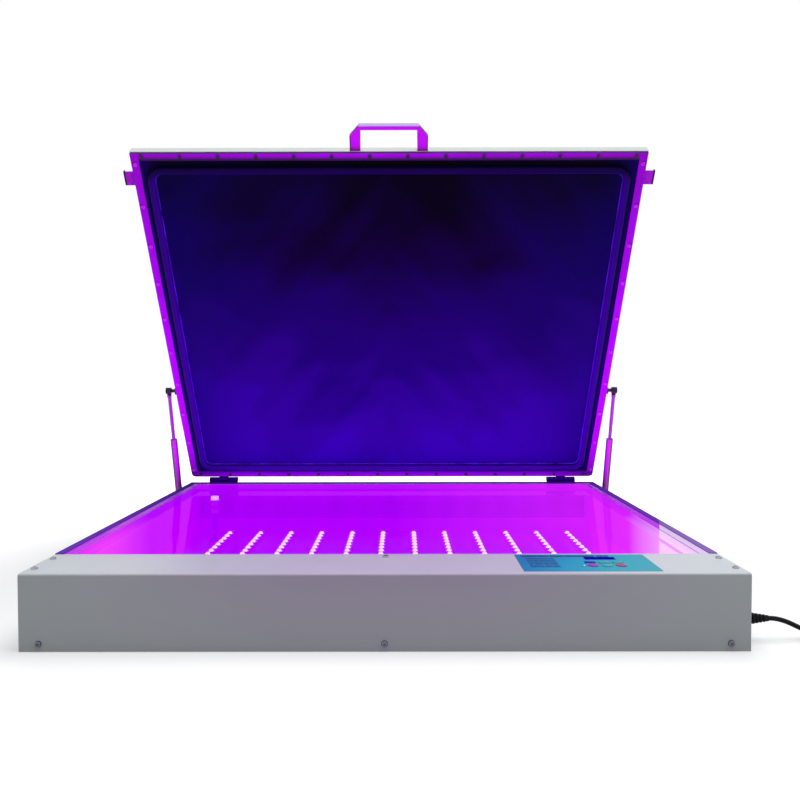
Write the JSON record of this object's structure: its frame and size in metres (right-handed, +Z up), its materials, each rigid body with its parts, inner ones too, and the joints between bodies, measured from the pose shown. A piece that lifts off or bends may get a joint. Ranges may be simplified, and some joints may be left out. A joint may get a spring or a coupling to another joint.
{
  "type": "screen printing exposure unit",
  "caption": "Tabletop vacuum exposure unit: lamps under a glass bed, hinged lid with a rubber blanket, gas springs, draw latches and a keypad.",
  "frame": {"origin": "middle of the cabinet's footprint, on its underside", "axes": "+X to the user's right, +Y from the control panel to the hinges, +Z up"},
  "size_m": [1.2145, 1.0621, 0.8556],
  "materials": {
    "cabinet_paint": "satin grey paint",
    "cover_paint": "satin light grey paint",
    "galvanised_steel": "bare sheet",
    "bright_steel": "bright plated",
    "screw_steel": "zinc plated",
    "lid_aluminium": "satin anodised",
    "reflector": "polished reflector sheet",
    "clamp_bar_paint": "satin paint",
    "exposure_glass": "clear float glass over purple lamps",
    "blanket_rubber": "smooth black rubber",
    "rim_rubber": "matte black rubber",
    "foam": "closed-cell foam",
    "hose_rubber": "translucent silicone",
    "cord_rubber": "black cord sheath",
    "black_plastic": "moulded",
    "white_plastic": "moulded",
    "led_board": "white-coated boards with lit lamps",
    "motor_black": "gloss black paint",
    "pump_metal": "cast",
    "board_green": "solder mask",
    "display_dark": "tinted window",
    "label_blue": "printed film, blue gradient",
    "loom_red": "cable sleeving",
    "spring_tube": "grey lacquer",
    "spring_rod": "hard chromed",
    "key_dark_blue": "silicone key",
    "key_teal_grey": "silicone key",
    "key_magenta": "silicone key",
    "key_green": "silicone key",
    "key_red": "silicone key",
    "rocker_red": "lit rocker"
  },
  "bodies": {
    "cabinet": {"cabinet_pan": "cabinet_paint", "front_cover": "cover_paint", "glass_ledge": "galvanised_steel", "glass_gasket": "foam", "compartment_wall": "galvanised_steel", "reflector_tray": "reflector", "led_strips": "led_board", "exposure_glass": "exposure_glass", "rim_strips": "rim_rubber", "suction_port": "white_plastic", "port_nut": "white_plastic", "vacuum_hose": "hose_rubber", "pump_motor": "motor_black", "pump_head": "pump_metal", "pump_base": "galvanised_steel", "left_power_supply": "galvanised_steel", "right_power_supply": "galvanised_steel", "control_board": "board_green", "display_module": "display_dark", "control_label": "label_blue", "wiring_loom": "loom_red", "fan_frame": "black_plastic", "switch_housing": "black_plastic", "strain_relief": "cord_rubber", "cord_lead": "cord_rubber", "cord_coil": "cord_rubber", "cord_tail": "cord_rubber", "mains_plug": "black_plastic", "cover_screws": "screw_steel", "hinge_base_leaves": "bright_steel", "hinge_pins": "bright_steel", "base_gas_studs": "bright_steel", "latch_plates": "bright_steel", "base_hardware_screws": "screw_steel"},
    "lid": {"lid_frame": "lid_aluminium", "vacuum_blanket": "blanket_rubber", "clamp_bars": "clamp_bar_paint", "clamp_screws": "screw_steel", "lid_handle": "lid_aluminium", "handle_screws": "screw_steel", "keepers": "bright_steel", "hinge_lid_leaves": "bright_steel", "lid_gas_studs": "bright_steel", "lid_hardware_screws": "screw_steel"},
    "fan_rotor": {"fan_rotor": "black_plastic"},
    "switch_rocker": {"switch_rocker": "rocker_red"},
    "left_gas_tube": {"left_gas_tube": "spring_tube"},
    "right_gas_tube": {"right_gas_tube": "spring_tube"},
    "left_gas_rod": {"left_gas_rod": "spring_rod"},
    "right_gas_rod": {"right_gas_rod": "spring_rod"},
    "left_latch_lever": {"left_latch_lever": "bright_steel"},
    "right_latch_lever": {"right_latch_lever": "bright_steel"},
    "left_latch_bail": {"left_latch_bail": "bright_steel"},
    "right_latch_bail": {"right_latch_bail": "bright_steel"},
    "set_key": {"set_key": "key_dark_blue"},
    "minus_key": {"minus_key": "key_teal_grey"},
    "plus_key": {"plus_key": "key_teal_grey"},
    "vacuum_key": {"vacuum_key": "key_magenta"},
    "start_key": {"start_key": "key_green"},
    "stop_key": {"stop_key": "key_red"}
  },
  "joints": [
    {"name": "lid_hinge", "type": "hinge", "parent": "cabinet", "child": "lid", "pos_m": [0, 0.4905, 0.115], "axis": [1, 0, 0], "range_deg": [0, 55.3]},
    {"name": "left_spring_pivot", "type": "hinge", "parent": "cabinet", "child": "left_gas_tube", "pos_m": [-0.518, 0.4475, 0.047], "axis": [1, 0, 0], "range_deg": [0, 51.67]},
    {"name": "left_spring_slide", "type": "slide", "parent": "left_gas_tube", "child": "left_gas_rod", "axis": [0, -0.3129, 0.9498], "range_m": [-0.0727, 0]},
    {"name": "left_latch_pivot", "type": "hinge", "parent": "cabinet", "child": "left_latch_lever", "pos_m": [-0.509, -0.291, 0.085], "axis": [0, 1, 0], "range_deg": [0, 100]},
    {"name": "left_bail_pivot", "type": "hinge", "parent": "left_latch_lever", "child": "left_latch_bail", "pos_m": [-0.509, -0.291, 0.073], "axis": [0, 1, 0], "range_deg": [0, 80]},
    {"name": "right_spring_pivot", "type": "hinge", "parent": "cabinet", "child": "right_gas_tube", "pos_m": [0.518, 0.4475, 0.047], "axis": [1, 0, 0], "range_deg": [0, 51.67]},
    {"name": "right_spring_slide", "type": "slide", "parent": "right_gas_tube", "child": "right_gas_rod", "axis": [0, -0.3129, 0.9498], "range_m": [-0.0727, 0]},
    {"name": "right_latch_pivot", "type": "hinge", "parent": "cabinet", "child": "right_latch_lever", "pos_m": [0.509, -0.291, 0.085], "axis": [0, -1, 0], "range_deg": [0, 100]},
    {"name": "right_bail_pivot", "type": "hinge", "parent": "right_latch_lever", "child": "right_latch_bail", "pos_m": [0.509, -0.291, 0.073], "axis": [0, -1, 0], "range_deg": [0, 80]},
    {"name": "set_key_press", "type": "slide", "parent": "cabinet", "child": "set_key", "axis": [0, 0, -1], "range_m": [0, 0.001], "stiffness_N_per_m": 400, "springref_m": -0.001},
    {"name": "minus_key_press", "type": "slide", "parent": "cabinet", "child": "minus_key", "axis": [0, 0, -1], "range_m": [0, 0.001], "stiffness_N_per_m": 400, "springref_m": -0.001},
    {"name": "plus_key_press", "type": "slide", "parent": "cabinet", "child": "plus_key", "axis": [0, 0, -1], "range_m": [0, 0.001], "stiffness_N_per_m": 400, "springref_m": -0.001},
    {"name": "vacuum_key_press", "type": "slide", "parent": "cabinet", "child": "vacuum_key", "axis": [0, 0, -1], "range_m": [0, 0.001], "stiffness_N_per_m": 400, "springref_m": -0.001},
    {"name": "start_key_press", "type": "slide", "parent": "cabinet", "child": "start_key", "axis": [0, 0, -1], "range_m": [0, 0.001], "stiffness_N_per_m": 400, "springref_m": -0.001},
    {"name": "stop_key_press", "type": "slide", "parent": "cabinet", "child": "stop_key", "axis": [0, 0, -1], "range_m": [0, 0.001], "stiffness_N_per_m": 400, "springref_m": -0.001},
    {"name": "power_switch", "type": "hinge", "parent": "cabinet", "child": "switch_rocker", "pos_m": [0.496, -0.3915, 0.045], "axis": [0, 1, 0], "range_deg": [0, 16]},
    {"name": "fan_spin", "type": "hinge", "parent": "cabinet", "child": "fan_rotor", "pos_m": [-0.486, -0.42025, 0.0418], "axis": [1, 0, 0], "continuous": true}
  ],
  "couplings": [
    {"joint": "left_spring_pivot", "follows": "lid_hinge", "ratio": 0.93257},
    {"joint": "left_spring_slide", "follows": "lid_hinge", "m_per_rad": -0.075216},
    {"joint": "right_spring_pivot", "follows": "lid_hinge", "ratio": 0.93257},
    {"joint": "right_spring_slide", "follows": "lid_hinge", "m_per_rad": -0.075216}
  ]
}
